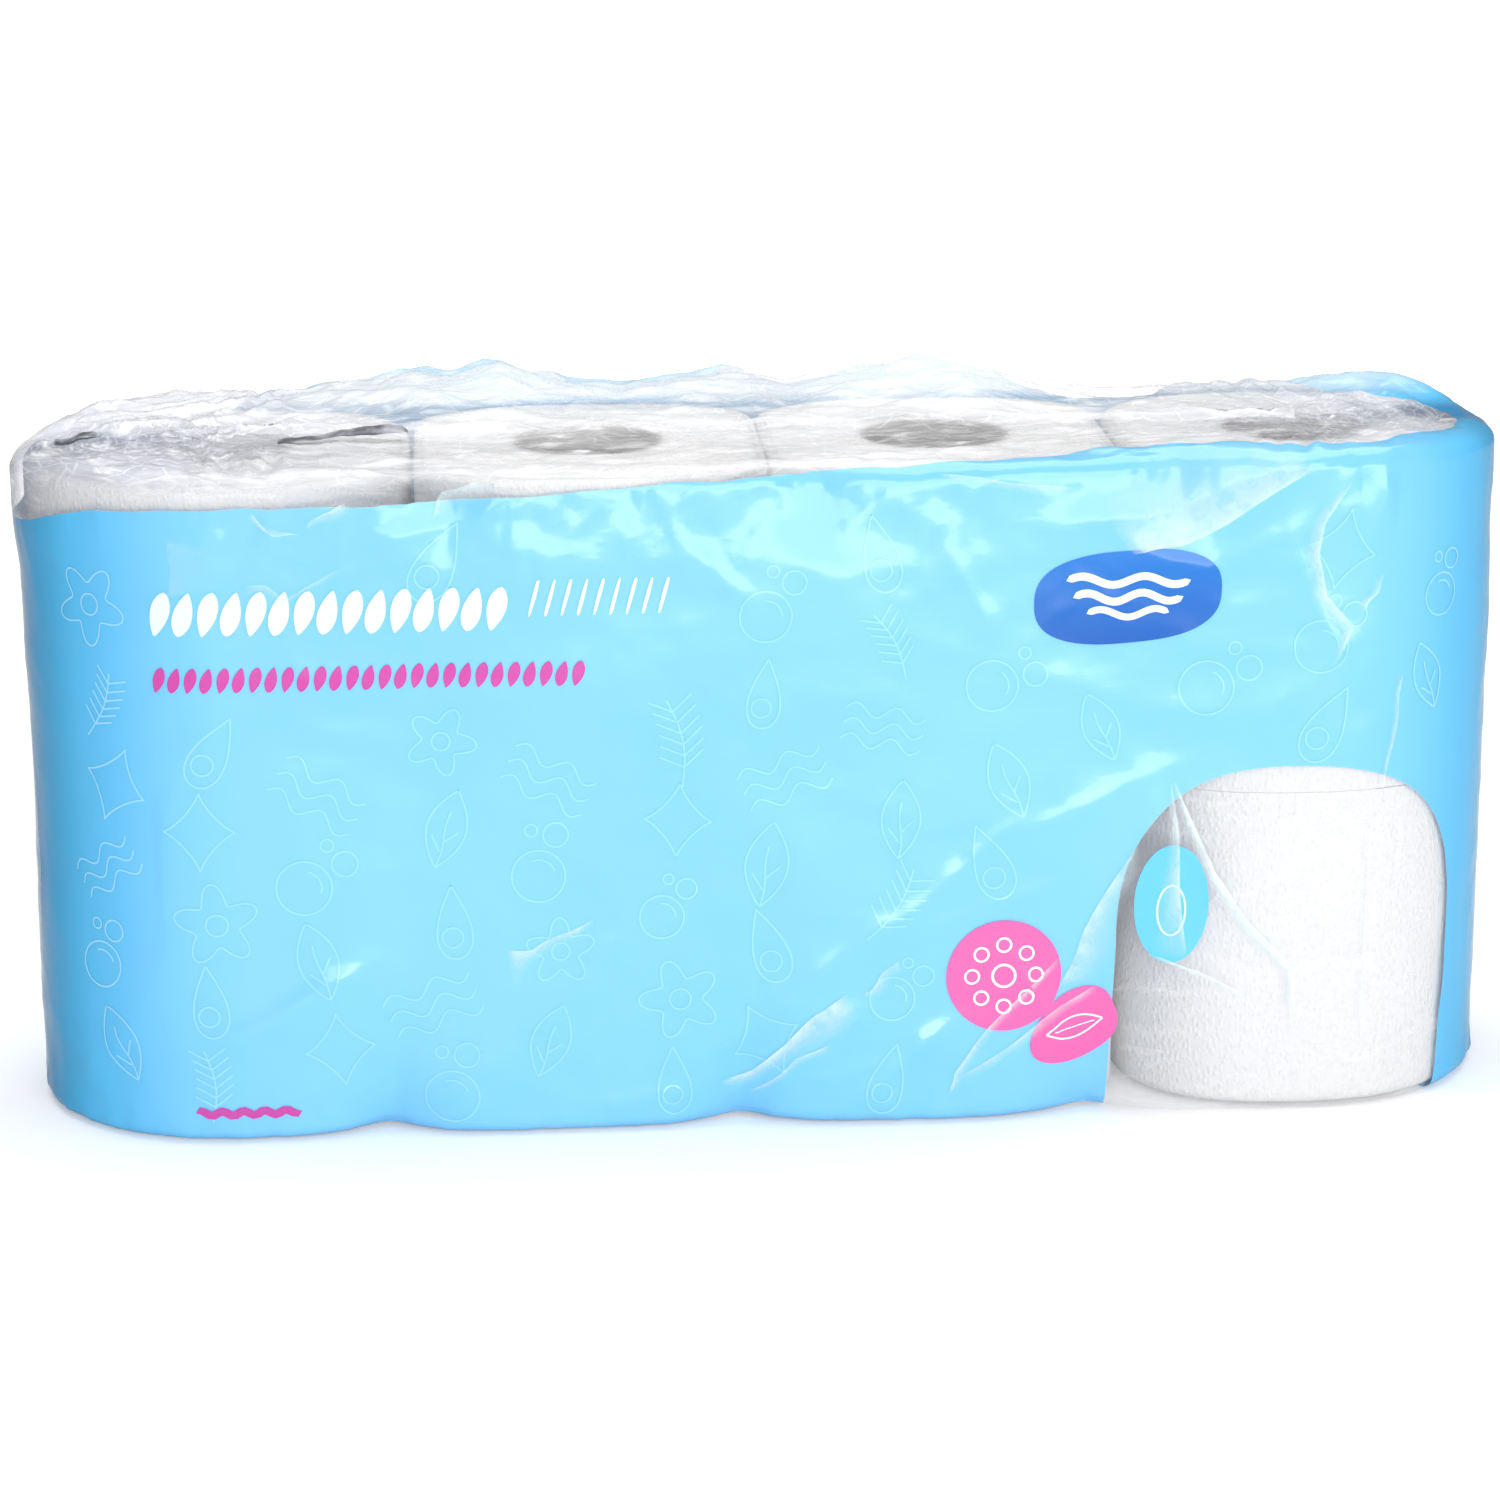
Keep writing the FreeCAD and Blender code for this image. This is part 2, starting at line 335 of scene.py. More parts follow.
# The film's section as (inset, height): the sleeve from the base's middle over the rim, or the top.
def sectionCurve(part):
    base, top = film["baseRim"], film["topRim"]
    high, full, shared = pack["filmTop"], pack["halfDepth"], film["sleeveReach"]
    if part == "top":
        t = np.linspace(0, 1, 64)
        return np.stack([shared + (full - shared) * t, high + 0 * t], -1)
    t = np.linspace(0, 1, 15)
    parts = [np.stack([full + (base - full) * t, 0 * t], -1)]
    t = np.linspace(0, math.pi / 2, 7)[1:]
    parts.append(np.stack([base - base * np.sin(t), base - base * np.cos(t)], -1))
    t = np.linspace(0, 1, 92)[1:]
    parts.append(np.stack([0 * t, base + (high - top - base) * t], -1))
    t = np.linspace(0, math.pi / 2, 9)[1:]
    parts.append(np.stack([top - top * np.cos(t), high - top + top * np.sin(t)], -1))
    t = np.linspace(0, 1, 9)[1:]
    parts.append(np.stack([top + (shared - top) * t, high + 0 * t], -1))
    return np.concatenate(parts)


# One part of the film as rings that follow the rolls' outline, each row further along the section.
def buildFilm(name, part, around):
    section = sectionCurve(part)
    grid = np.stack([np.stack(outline(pack["halfDepth"] - depth, around), -1) for depth in section[:, 0]])
    inset = np.repeat(section[:, 0][:, None], around, 1)
    z = np.repeat(section[:, 1][:, None], around, 1)
    points = filmSurface(inset, z, grid[..., 0], grid[..., 1], grid[..., 2])
    travel = np.concatenate([[0], np.cumsum(np.hypot(*np.diff(section, axis=0).T))])
    if part == "top":
        start = pack["filmTop"] + film["sleeveReach"] - film["topRim"] * 0.43
    else:
        start = -travel[np.argmax(section[:, 0] <= film["baseRim"])] - film["baseRim"] * 0.5
    v = np.repeat((travel + start)[:, None], around, 1)
    piece = meshObject(name, points.reshape(-1, 3), gridFaces(*v.shape, True))
    setWrappedUv(piece, np.stack([grid[..., 2], v], -1), 0.3, 0, pack["girth"])
    return piece


def finishPiece(piece, material, node):
    piece.data.materials.append(material)
    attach(piece, "root")
    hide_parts(node)


# dark painted shade in the open folds of the gathered film at the left end: middle x, y, half length, height,
# slope, in millimetres
foldShadowSlots = [(-203, -4, 6.2, 1.1, 0.01), (-124, -17, 19.0, 2.3, 0.13)]


# Height of the film's top at x, y.
def topHeight(x, y):
    inset = pack["halfDepth"] - np.hypot(x - np.clip(x, -pack["endCentre"], pack["endCentre"]), y)
    flat = np.full_like(x, pack["filmTop"])
    return filmSurface(inset, flat, x, y, np.zeros_like(x))[..., 2]


# Each fold's painted shade is a low arch that faces the front, lens-shaped, thicker towards its right end.
def buildFoldShadowSlots():
    deep, steps = 5, 30
    points, faces = [], []
    t = np.linspace(-1, 1, steps)
    across = np.linspace(0, 1, deep)[:, None]
    for number, (midX, midY, half, height, slope) in enumerate(foldShadowSlots):
        x = (midX + half * t) * mm
        y = (midY + 1.2 * np.sin(t * 3)) * mm
        tall = height * mm * np.sqrt(1 - t ** 2) * (0.3 + 0.9 * smoothStep(-0.4, 0.9, t)) + 0.00005
        under = topHeight(x, y)
        foot = np.max(under) * 0.3 + under * 0.7 + 0.0003 + slope * half * (t + 1) * 0.0005
        rows = np.stack([x + 0 * across, y + 0.004 * across ** 2, foot + tall * across], -1)
        points.append(rows.reshape(-1, 3))
        faces.append(gridFaces(deep, steps, False) + number * deep * steps)
    return meshObject("film_fold_shadows", np.concatenate(points), np.concatenate(faces))


# Short names for building the node tree of a material or, with other kinds of node, of the world.
class Nodes:

    def __init__(self, name, owners="materials", output="OutputMaterial", shader="BsdfPrincipled"):
        self.made = getattr(bpy.data, owners).new(name)
        self.made.use_nodes = True
        self.tree = self.made.node_tree
        self.tree.nodes.clear()
        self.out = self.add(output)
        self.shader = self.add(shader)
        self.link(self.shader.outputs[0], self.out.inputs[0])

    def add(self, kind):
        return self.tree.nodes.new("ShaderNode" + kind)

    def set(self, **values):
        for key, value in values.items():
            self.shader.inputs[key.replace("_", " ")].default_value = value

    def link(self, source, target):
        self.tree.links.new(source, target)

    def toShader(self, source, socket):
        self.link(source, self.shader.inputs[socket])

    def math(self, operation, a, b=None, c=None, clamp=False):
        node = self.add("Math")
        node.operation = operation
        node.use_clamp = clamp
        for i, value in enumerate((a, b, c)):
            if value is None:
                continue
            if isinstance(value, (int, float)):
                node.inputs[i].default_value = value
            else:
                self.link(value, node.inputs[i])
        return node.outputs[0]

    def times(self, a, b):
        return self.math("MULTIPLY", a, b)

    def less(self, a, b):
        return self.math("SUBTRACT", a, b)

    # value times slope plus offset
    def line(self, value, slope, offset, clamp=False):
        return self.math("MULTIPLY_ADD", value, slope, offset, clamp)

    # 0 up to start, rising to 1 over that much more
    def share(self, value, start, over):
        return self.math("DIVIDE", self.less(value, start), over, clamp=True)

    def uv(self):
        node = self.add("UVMap")
        node.uv_map = "UVMap"
        return node.outputs[0]

    def place(self):
        return self.add("TexCoord").outputs["Object"]

    # 1 where the camera sees the surface, also through the film, and 0 where only light reaches it
    def seen(self):
        path = self.add("LightPath")
        return self.math("MAXIMUM", path.outputs["Is Camera Ray"], path.outputs["Is Transmission Ray"])

    def attribute(self, name):
        node = self.add("Attribute")
        node.attribute_name = name
        return node.outputs["Fac"]

    def split(self, vector):
        node = self.add("SeparateXYZ")
        self.link(vector, node.inputs[0])
        return node.outputs[:]

    def stretched(self, vector, scale):
        node = self.add("Mapping")
        node.inputs["Scale"].default_value = scale
        self.link(vector, node.inputs[0])
        return node.outputs[0]

    def noise(self, vector, scale, detail=4.0, rough=0.55, warp=0.0):
        node = self.add("TexNoise")
        node.inputs["Scale"].default_value = scale
        node.inputs["Detail"].default_value = detail
        node.inputs["Roughness"].default_value = rough
        node.inputs["Distortion"].default_value = warp
        self.link(vector, node.inputs["Vector"])
        return node.outputs["Fac"]

    def cells(self, vector, scale, feature="DISTANCE_TO_EDGE"):
        node = self.add("TexVoronoi")
        node.feature = feature
        node.inputs["Scale"].default_value = scale
        self.link(vector, node.inputs["Vector"])
        return node.outputs["Distance"]

    def ramp(self, value, stops):
        node = self.add("ValToRGB")
        elements = node.color_ramp.elements
        while len(elements) < len(stops):
            elements.new(0.5)
        for element, (at, level) in zip(elements, stops):
            element.position = at
            element.color = (level, level, level, 1)
        self.link(value, node.inputs[0])
        return node.outputs[0]

    def mix(self, factor, a, b):
        node = self.add("Mix")
        node.data_type = "RGBA"
        for i, value in ((0, factor), (6, a), (7, b)):
            if isinstance(value, tuple):
                node.inputs[i].default_value = (*value, 1)
            elif isinstance(value, (int, float)):
                node.inputs[i].default_value = value
            else:
                self.link(value, node.inputs[i])
        return node.outputs[2]

    def bump(self, height, strength, distance):
        node = self.add("Bump")
        node.inputs["Strength"].default_value = strength
        node.inputs["Distance"].default_value = distance
        self.link(height, node.inputs["Height"])
        self.toShader(node.outputs[0], "Normal")

    def curve(self, value, points):
        node = self.add("FloatCurve")
        curve = node.mapping.curves[0]
        while len(curve.points) < len(points):
            curve.points.new(0.5, 0.5)
        for point, (x, y) in zip(curve.points, points):
            point.location = (x, y)
            point.handle_type = "AUTO_CLAMPED"
        node.mapping.update()
        self.link(value, node.inputs[1])
        return node.outputs[0]


# Display values 0 to 255 as the linear colour that a shader takes.
def srgb(red, green, blue):
    values = np.array([red, green, blue]) / 255
    linear = np.where(values <= 0.04045, values / 12.92, ((values + 0.055) / 1.055) ** 2.4)
    return tuple(float(v) for v in linear)


# the film's colours, where its ink ends, and its clear window
printed = {
    "blue": (0.228, 0.60, 0.93),
    "blueDeep": (0.195, 0.565, 0.91),
    # deeper blues of the ends: partly the gathered, doubled film, partly painted shade
    "blueMiddle": (0.045, 0.46, 0.80),
    "blueEndShade": (0.012, 0.20, 0.44),
    "bluePaleBacklit": (0.62, 0.84, 0.98),
    "milky": (0.66, 0.675, 0.76),
    # painted shade: the clear film's grey at the ends' outer rims
    "edgeShadeGrey": (0.36, 0.39, 0.48),
    "clear": (0.92, 0.925, 0.955),
    "whiteningAndGlint": (0.97, 0.975, 0.985),
    # the ink's upper edge as (unrolled distance, height) in millimetres, from back middle to back middle
    "edge": [(-509, 201), (-495, 208), (-452, 209), (-441, 199), (-430, 210), (-394, 211), (-384, 198),
             (-372, 208), (-358, 203), (-345, 192), (-310, 187), (-275, 182), (-254, 180), (-234, 181.5),
             (-210, 187), (-191, 190), (-160, 191.2), (-127, 191.5), (-79, 193),
             (-30, 196), (15, 199), (72, 203), (106, 207), (133, 205), (156, 203.5), (178, 204), (190, 207),
             (222, 207), (250, 208), (280, 216), (305, 219), (335, 211), (350, 204), (373, 203), (384, 196),
             (440, 196), (470, 198), (490, 199), (509, 201)],
    # window: middle x, half widths to the left and right, the arch's shoulder height and its rise
    "windowX": 0.1515, "windowLeft": 0.0512, "windowRight": 0.0558,
    "windowShoulder": 0.054, "windowRise": 0.0540,
    "windowPower": 2.5,       # of the arch's rounded corners: 2 would be an ellipse
    "endsFrom": 0.16,         # unrolled distance from the middle where the ends' deeper blue starts
    "endsOver": 0.2,
    "looseFrom": 0.1945,      # height along the film where the clear film starts to be loose
    "looseOver": 0.008,
}


# Share of ink: 1 below its ragged upper edge and 0 in the window. The window is a rounded rectangle's
# upper half above its shoulder, and below it the sides run straight, each at a slight slant.
def inkShare(n, vector, u, v):
    reach, low, high = 0.52, 0.150, 0.250     # what the edge's curve covers: u to either side, and height
    share = n.line(u, 0.5 / reach, 0.5)
    points = [(0.5 + x * mm * 0.5 / reach, (z * mm - low) / (high - low)) for x, z in printed["edge"]]
    edge = n.line(n.curve(share, points), high - low, low)
    wobble = n.line(n.noise(vector, 60, 3), 0.002, -0.001)
    below = n.less(n.math("ADD", edge, wobble), v)
    inked = n.line(below, 3500, 0.5, clamp=True)
    fromMiddle = n.less(u, printed["windowX"])
    toRight = n.math("GREATER_THAN", fromMiddle, 0.0)
    fromShoulder = n.less(v, printed["windowShoulder"])
    rising = n.math("MAXIMUM", fromShoulder, 0.0)
    falling = n.math("MINIMUM", fromShoulder, 0.0)
    left, right, power = printed["windowLeft"], printed["windowRight"], printed["windowPower"]
    half = n.line(toRight, right - left, left)
    half = n.line(falling, n.line(toRight, 0.10, -0.03), half)
    across = n.math("POWER", n.math("DIVIDE", n.math("ABSOLUTE", fromMiddle), half), power)
    up = n.math("POWER", n.math("DIVIDE", rising, printed["windowRise"]), power)
    inside = n.times(n.less(1.0, n.math("ADD", across, up)), 60.0)
    window = n.math("ADD", inside, 0.5, clamp=True)
    return n.times(inked, n.less(1.0, window))


def filmMaterial():
    n = Nodes("printedFilm")
    vector = n.uv()
    u, v = n.split(vector)[:2]
    px, py, pz = n.split(n.place())
    ink = inkShare(n, vector, u, v)
    # the blue deepens slowly here and there. Towards the ends it deepens where the film is gathered and
    # doubled, and it is also painted darker there as painted shade, where the rounded ends turn from the
    # light
    cloud = n.noise(vector, 9, 3)
    blue = n.mix(n.ramp(cloud, [(0.3, 0.0), (0.75, 1.0)]), printed["blueDeep"], printed["blue"])
    fromFront = n.math("ABSOLUTE", n.less(u, 0.006))
    ends = n.share(fromFront, printed["endsFrom"], printed["endsOver"])
    deeper = n.ramp(ends, [(0.0, 0.0), (0.10, 0.16), (0.22, 0.62), (0.34, 0.95), (0.50, 0.85), (0.68, 0.0)])
    blue = n.mix(deeper, blue, printed["blueMiddle"])
    # painted shade: the ends' outermost rim takes the darkest blue
    rim = n.ramp(ends, [(0.26, 0.0), (0.36, 0.45), (0.43, 0.95), (0.49, 0.85), (0.56, 0.0)])
    blue = n.mix(rim, blue, printed["blueEndShade"])
    # the clear film whitens along its creases, which run lengthwise, and the same white flecks are painted
    # highlights that stand in for the film's small glints
    loose = n.share(v, printed["looseFrom"], printed["looseOver"])
    gathered = n.line(n.math("ABSOLUTE", px), 12.0, -1.15, clamp=True)
    gathered = n.times(gathered, n.line(n.math("GREATER_THAN", px, 0.0), -0.45, 1.0))
    streak = n.noise(n.stretched(vector, (0.45, 1.5, 1.0)), 95, 7, 0.66, 1.1)
    whiteningAndGlint = n.ramp(streak, [(0.50, 0.0), (0.60, 0.55), (0.70, 1.0)])
    haze = n.noise(n.stretched(vector, (0.6, 1.4, 1.0)), 28, 4, 0.6, 0.6)
    cell = n.ramp(n.cells(n.stretched(vector, (1.0, 2.6, 1.0)), 80), [(0.0, 1.0), (0.045, 0.0)])
    bright = n.math("MAXIMUM", whiteningAndGlint, n.times(cell, 0.55))
    plain = n.mix(n.times(gathered, 0.85), printed["clear"], printed["milky"])
    # painted shade: the clear film turns grey at the ends' outermost rim, where they turn from the light
    plain = n.mix(rim, plain, printed["edgeShadeGrey"])
    clear = n.mix(bright, plain, printed["whiteningAndGlint"])
    # where the print folds over the back rim it is seen through other layers, and its blue is also painted
    # paler as painted light, for the light that shines through the thin film from behind
    aboveRolls = n.share(pz, pack["rollsTop"] - 0.001, 0.003)
    overBack = n.times(n.line(py, 50.0, -1.0, clamp=True), aboveRolls)
    overBack = n.times(overBack, n.line(px, -10.0, 2.9, clamp=True))
    blue = n.mix(n.times(overBack, 0.75), blue, printed["bluePaleBacklit"])
    n.toShader(n.mix(ink, clear, blue), "Base Color")
    milky = n.ramp(haze, [(0.30, 0.24), (0.5, 0.40), (0.70, 0.62)])
    atEnds = n.times(gathered, 0.36)
    atBack = n.times(n.line(py, 28.0, -0.55, clamp=True), 0.20)
    topAlpha = n.less(n.math("ADD", milky, atEnds), atBack)
    topAlpha = n.line(bright, 0.34, topAlpha, clamp=True)
    sideAlpha = n.line(rim, 0.72, n.line(whiteningAndGlint, 0.14, 0.12))
    level = n.line(loose, n.less(topAlpha, sideAlpha), sideAlpha, clamp=True)
    thinInk = n.times(ink, n.line(overBack, -0.38, 1.0))
    n.toShader(n.math("MAXIMUM", thinInk, level), "Alpha")
    fine = n.noise(n.stretched(vector, (0.6, 1.4, 1.0)), 210, 4, 0.62, 0.4)
    height = n.times(fine, n.line(loose, 1.8, 0.4))
    n.bump(height, 0.20, 0.0006)
    # the ends shine less, as their film is dulled by many small folds
    n.toShader(n.line(deeper, -0.42, 0.55), "Specular IOR Level")
    n.set(Roughness=0.12, IOR=1.5)
    return n.made


# painted shade: a mottled dark grey for the shade inside the open folds
def foldShadowMaterial():
    n = Nodes("foldShadow")
    tone = n.ramp(n.noise(n.place(), 160, 3), [(0.4, 0.0), (0.62, 1.0)])
    n.toShader(n.mix(tone, (0.10, 0.10, 0.12), (0.40, 0.40, 0.45)), "Base Color")
    n.set(Roughness=0.3)
    return n.made


# Points that far off the film's side at unrolled distance u and height z, along its own normal.
def onFilm(u, z, lift):
    def at(uu, zz):
        x, y = outlineAt(pack["halfDepth"], uu)
        return filmSurface(np.zeros_like(uu), zz, x, y, uu)
    step = 0.0006
    across = at(u + step, z) - at(u - step, z)
    up = at(u, z + step) - at(u, z - step)
    normal = np.cross(across, up)
    normal /= np.linalg.norm(normal, axis=-1, keepdims=True)
    return at(u, z) + normal * lift


# Left and right edges of a line of that width in the film's plane, square to its own course.
def ribbon(u, z, width):
    du, dz = np.gradient(u), np.gradient(z)
    if np.hypot(u[0] - u[-1], z[0] - z[-1]) < 1e-6:
        du[0] = du[-1] = (u[1] - u[-2]) / 2
        dz[0] = dz[-1] = (z[1] - z[-2]) / 2
    length = np.hypot(du, dz) + 1e-12
    width = np.broadcast_to(width, u.shape)
    offU, offZ = -dz / length * width / 2, du / length * width / 2
    return np.stack([u - offU, u + offU]), np.stack([z - offZ, z + offZ])


# All lines as one mesh of quads: each line is (u, z, width).
def lineMesh(name, lines, lift):
    edges, faces, start = [], [], 0
    for u, z, width in lines:
        edges.append(np.stack(ribbon(u, z, width)).reshape(2, -1))
        n = len(u)
        i = np.arange(n - 1)
        faces.append(np.stack([start + i, start + i + 1, start + n + i + 1, start + n + i], -1))
        start += 2 * n
    edgeU, edgeZ = np.concatenate(edges, 1)
    return meshObject(name, onFilm(edgeU, edgeZ, lift), np.concatenate(faces))


# A closed outline filled by rings that shrink to its middle, laid on the film.
def filledShape(name, outlineU, outlineZ, lift, rings=14):
    midU, midZ = outlineU.mean(), outlineZ.mean()
    t = np.linspace(0, 1, rings)[:, None]
    points = onFilm(midU + (outlineU - midU) * t, midZ + (outlineZ - midZ) * t, lift)
    return meshObject(name, points.reshape(-1, 3), gridFaces(rings, len(outlineU), True))


# Glossy ink. With a second colour it runs from that at the tile's foot to the first at its head.
def inkMaterial(name, colour, deep=None):
    n = Nodes(name)
    if deep:
        z = n.split(n.place())[2]
        share = n.share(z, 0.146, 0.028)
        n.toShader(n.mix(share, deep, colour), "Base Color")
    else:
        n.set(Base_Color=(*colour, 1))
    n.set(Roughness=0.18, IOR=1.5)
    return n.made


def loop(points=72):
    return np.linspace(0, 2 * math.pi, points)


def signedPower(values, power):
    return np.sign(values) * np.abs(values) ** power


# A ring about a place, from its half width and half height.
def ring(u, z, halfU, halfZ, points=72):
    t = loop(points)
    return u + halfU * np.sin(t), z + halfZ * np.cos(t)


# Line drawings about 0, 0 in a box one unit high: lists of (u, z).
def motifs():
    t = loop()
    drop = [(0.30 * np.sin(t) * np.sin(t / 2) ** 1.2, 0.48 * np.cos(t)), ring(-0.03, -0.2, 0.13, 0.13)]
    side = np.linspace(0, 1, 30)
    bulge = 0.24 * np.sin(math.pi * side) ** 0.9
    leaf = [(np.concatenate([bulge, -bulge[::-1]]), np.concatenate([side, side[::-1]]) - 0.5),
            (0.02 * np.sin(6 * side), side * 0.72 - 0.5),
            (0.15 * side, side * 0.18 - 0.18), (-0.15 * side, side * 0.18 - 0.30)]
    petals = 0.36 + 0.11 * np.cos(5 * t)
    flower = [(petals * np.sin(t), petals * np.cos(t)), ring(0, 0, 0.12, 0.12)]
    bubbles = [ring(-0.1, -0.1, 0.30, 0.30), ring(0.27, 0.26, 0.14, 0.14), ring(0.04, 0.42, 0.07, 0.07),
               (0.19 * np.sin(t[:20]) - 0.1, 0.19 * np.cos(t[:20]) - 0.1)]
    wave = [(1.1 * (side - 0.5), 0.09 * np.sin(side * 12.5) + k) for k in (-0.22, 0.0, 0.22)]
    star = [(0.42 * signedPower(np.cos(t), 2.6), 0.48 * signedPower(np.sin(t), 2.6))]
    feather = [(0.10 * np.sin(side * 3), side - 0.5)]
    feather += [(0.10 * np.sin(k * 3) + way * 0.24 * side, k - 0.5 + 0.16 * side)
                for k in np.linspace(0.22, 0.86, 6) for way in (-1, 1)]
    return [drop, leaf, flower, bubbles, wave, star, feather]


art = {
    "lineWidth": 0.00052,
    "lineLift": 0.00018,      # how far off the film the motifs lie, and what is laid over them
    "shapeLift": 0.00030, "topLift": 0.00044, "glareLift": 0.00058,
    "columns": 31, "rows": 7, "rowPitch": 0.0262, "lowestRow": 0.016, "highest": 0.176,
    "jitterU": 0.004, "jitterZ": 0.002,
    "seed": 5,
    "lineColour": (0.295, 0.69, 0.96), "white": (0.74, 0.88, 0.95), "magenta": (0.58, 0.06, 0.36),
    "pink": (0.86, 0.13, 0.40), "navy": (0.001, 0.10, 0.46), "navyLight": (0.012, 0.19, 0.62),
    "cyan": (0.13, 0.56, 0.94),
    # the shapes' middles and half sizes, as unrolled distance and height
    "tile": (0.102, 0.160), "tileHalf": (0.0272, 0.0138), "tileSlant": 0.07,
    "disc": (0.067, 0.0455), "discHalf": 0.0172, "discRings": 8, "discRingsAt": 0.0095,
    "pebble": (0.0885, 0.0285), "pebbleHalf": (0.0142, 0.0112),
    "drop": (0.1165, 0.0665), "dropHalf": (0.0112, 0.0185),
    "leafLength": 0.017, "leafHalf": 0.0034,
}

# places that the motifs leave free: from u, z to u, z in millimetres
keptFree = [(-190, 130, -24, 174), (66, 141, 138, 178), (42, 12, 112, 68), (94, -5, 208, 116),
            (-182, -6, -132, 14)]


def motifLines():
    rng = np.random.default_rng(art["seed"])
    drawings = motifs()
    lines = []
    kind = 0
    for column in range(art["columns"]):
        for row in range(art["rows"]):
            u = (column + 0.5) / art["columns"] * pack["girth"] - pack["girth"] / 2
            u += rng.uniform(-art["jitterU"], art["jitterU"])
            z = art["lowestRow"] + (row + 0.5 * (column % 2)) * art["rowPitch"]
            z += rng.uniform(-art["jitterZ"], art["jitterZ"])
            kind = (kind + int(rng.integers(1, 4))) % len(drawings)
            size, turn = rng.uniform(0.021, 0.027), rng.uniform(-0.6, 0.6)
            blocked = any(u0 < u / mm < u1 and z0 < z / mm < z1 for u0, z0, u1, z1 in keptFree)
            atSilhouette = 0.220 < abs(u) < 0.270
            if blocked or atSilhouette or z > art["highest"]:
                continue
            for du, dz in drawings[kind]:
                lineU = u + size * (du * math.cos(turn) - dz * math.sin(turn))
                lineZ = z + size * (du * math.sin(turn) + dz * math.cos(turn))
                lines.append((lineU, lineZ, art["lineWidth"]))
    return lines


# A wavy line whose ends taper, from u0 to u1 in millimetres.
def wavyBar(u0, u1, z, height, thick, waves):
    t = np.linspace(0, 1, max(24, int((u1 - u0) / 1.2)))
    taper = np.sqrt(np.clip(np.minimum(t, 1 - t) * (u1 - u0) / thick * 1.6, 0, 1))
    course = z + height * np.sin(t * waves * 2 * math.pi)
    return (u0 + (u1 - u0) * t) * mm, course * mm, (thick * taper + 0.05) * mm


# Filled leaves side by side from u0 to u1 in millimetres, every other one upside down.
# Each is a line whose width follows a sine to the power blunt, so it is thick in the middle.
def garland(u0, u1, z, count, length, width, blunt=0.75):
    lean = 0.28
    leaves = []
    t = np.linspace(0, 1, 26)
    for k in range(count):
        way = 1 if k % 2 else -1
        middle = u0 + (u1 - u0) * (k + 0.5) / count
        along = (t - 0.5) * length * way
        shape = np.sin(math.pi * t ** 0.8) ** blunt
        leaves.append(((middle + along * lean) * mm, (z + along) * mm, (width * shape + 0.04) * mm))
    return leaves


# The disc's rings: small ones in a circle, and a larger one in the middle.
def discRings():
    u, z = art["disc"]
    rings = []
    for k in range(art["discRings"]):
        angle = k / art["discRings"] * 2 * math.pi
        at = u + art["discRingsAt"] * math.cos(angle), z + art["discRingsAt"] * math.sin(angle)
        rings.append((*ring(*at, 0.0021, 0.0021, 28), 0.0007))
    rings.append((*ring(u, z, 0.0034, 0.0034, 28), 0.0008))
    return rings


# The pebble's leaf: two bowed sides and a vein.
def pebbleLeaf():
    u, z = art["pebble"]
    side = np.linspace(0, 1, 30)
    along = (side - 0.5) * art["leafLength"]
    bulge = art["leafHalf"] * np.sin(math.pi * side)
    return [(u + along, z + bulge + along * 0.25, 0.0006), (u + along, z - bulge + along * 0.25, 0.0006),
            (u + along * 0.7, z + along * 0.18, 0.0004)]


def buildArtwork():
    names = ("white", "magenta", "pink", "cyan")
    white, magenta, pink, cyan = (inkMaterial(name + "Ink", art[name]) for name in names)
    line = inkMaterial("paleLineInk", art["lineColour"])
    navy = inkMaterial("navyInk", art["navyLight"], art["navy"])
    lift, above = art["shapeLift"], art["topLift"]
    t = loop(96)[:-1]
    sine, cosine = np.sin(t), np.cos(t)
    power = 2 / 2.6      # of the tile's rounded rectangle
    tileU, tileZ = (half * signedPower(way, power) for half, way in zip(art["tileHalf"], (sine, cosine)))
    blob = 1 + 0.10 * np.cos(2 * t + 0.6) + 0.05 * np.cos(3 * t)
    blobU, blobZ = art["pebbleHalf"][0] * sine * blob, art["pebbleHalf"][1] * cosine * blob
    leaves = garland(-180, -77, 160.5, 15, 13.0, 5.6) + garland(-72, -30, 163.5, 9, 11.0, 1.1, 0.3)
    tileWaves = [wavyBar(84, 120, 165.0, 1.3, 2.3, 2), wavyBar(86, 118, 160.0, 1.3, 2.3, 2),
                 wavyBar(90, 114, 155.2, 1.2, 2.0, 1.5)]
    dropRing = (*ring(art["drop"][0], 0.0645, 0.0042, 0.0078, 60), 0.0006)

    def shape(name, at, u, z):
        return filledShape(name, at[0] + u, at[1] + z, lift)

    pieces = [
        (lineMesh("print_motif_lines", motifLines(), art["lineLift"]), line),
        (lineMesh("print_white_leaves", leaves, lift), white),
        (lineMesh("print_magenta_leaves", garland(-180, -55, 141.0, 27, 7.4, 3.4), lift), magenta),
        (lineMesh("print_small_wave", [wavyBar(-172, -141, 9.5, 0.7, 2.6, 5)], lift), magenta),
        (shape("print_navy_tile", art["tile"], tileU, tileZ + tileU * art["tileSlant"]), navy),
        (lineMesh("print_tile_waves", tileWaves, above), white),
        (shape("print_pink_disc", art["disc"], art["discHalf"] * sine, art["discHalf"] * cosine), pink),
        (lineMesh("print_disc_rings", discRings(), above), white),
        (shape("print_pink_blob", art["pebble"], blobU + blobZ * 0.2, blobZ + blobU * 0.22), pink),
        (lineMesh("print_blob_leaf", pebbleLeaf(), above), white),
        (shape("print_cyan_drop", art["drop"], art["dropHalf"][0] * sine, art["dropHalf"][1] * cosine), cyan),
        (lineMesh("print_drop_ring", [dropRing], above), white),
    ]
    for piece, material in pieces:
        finishPiece(piece, material, "film_wrap")
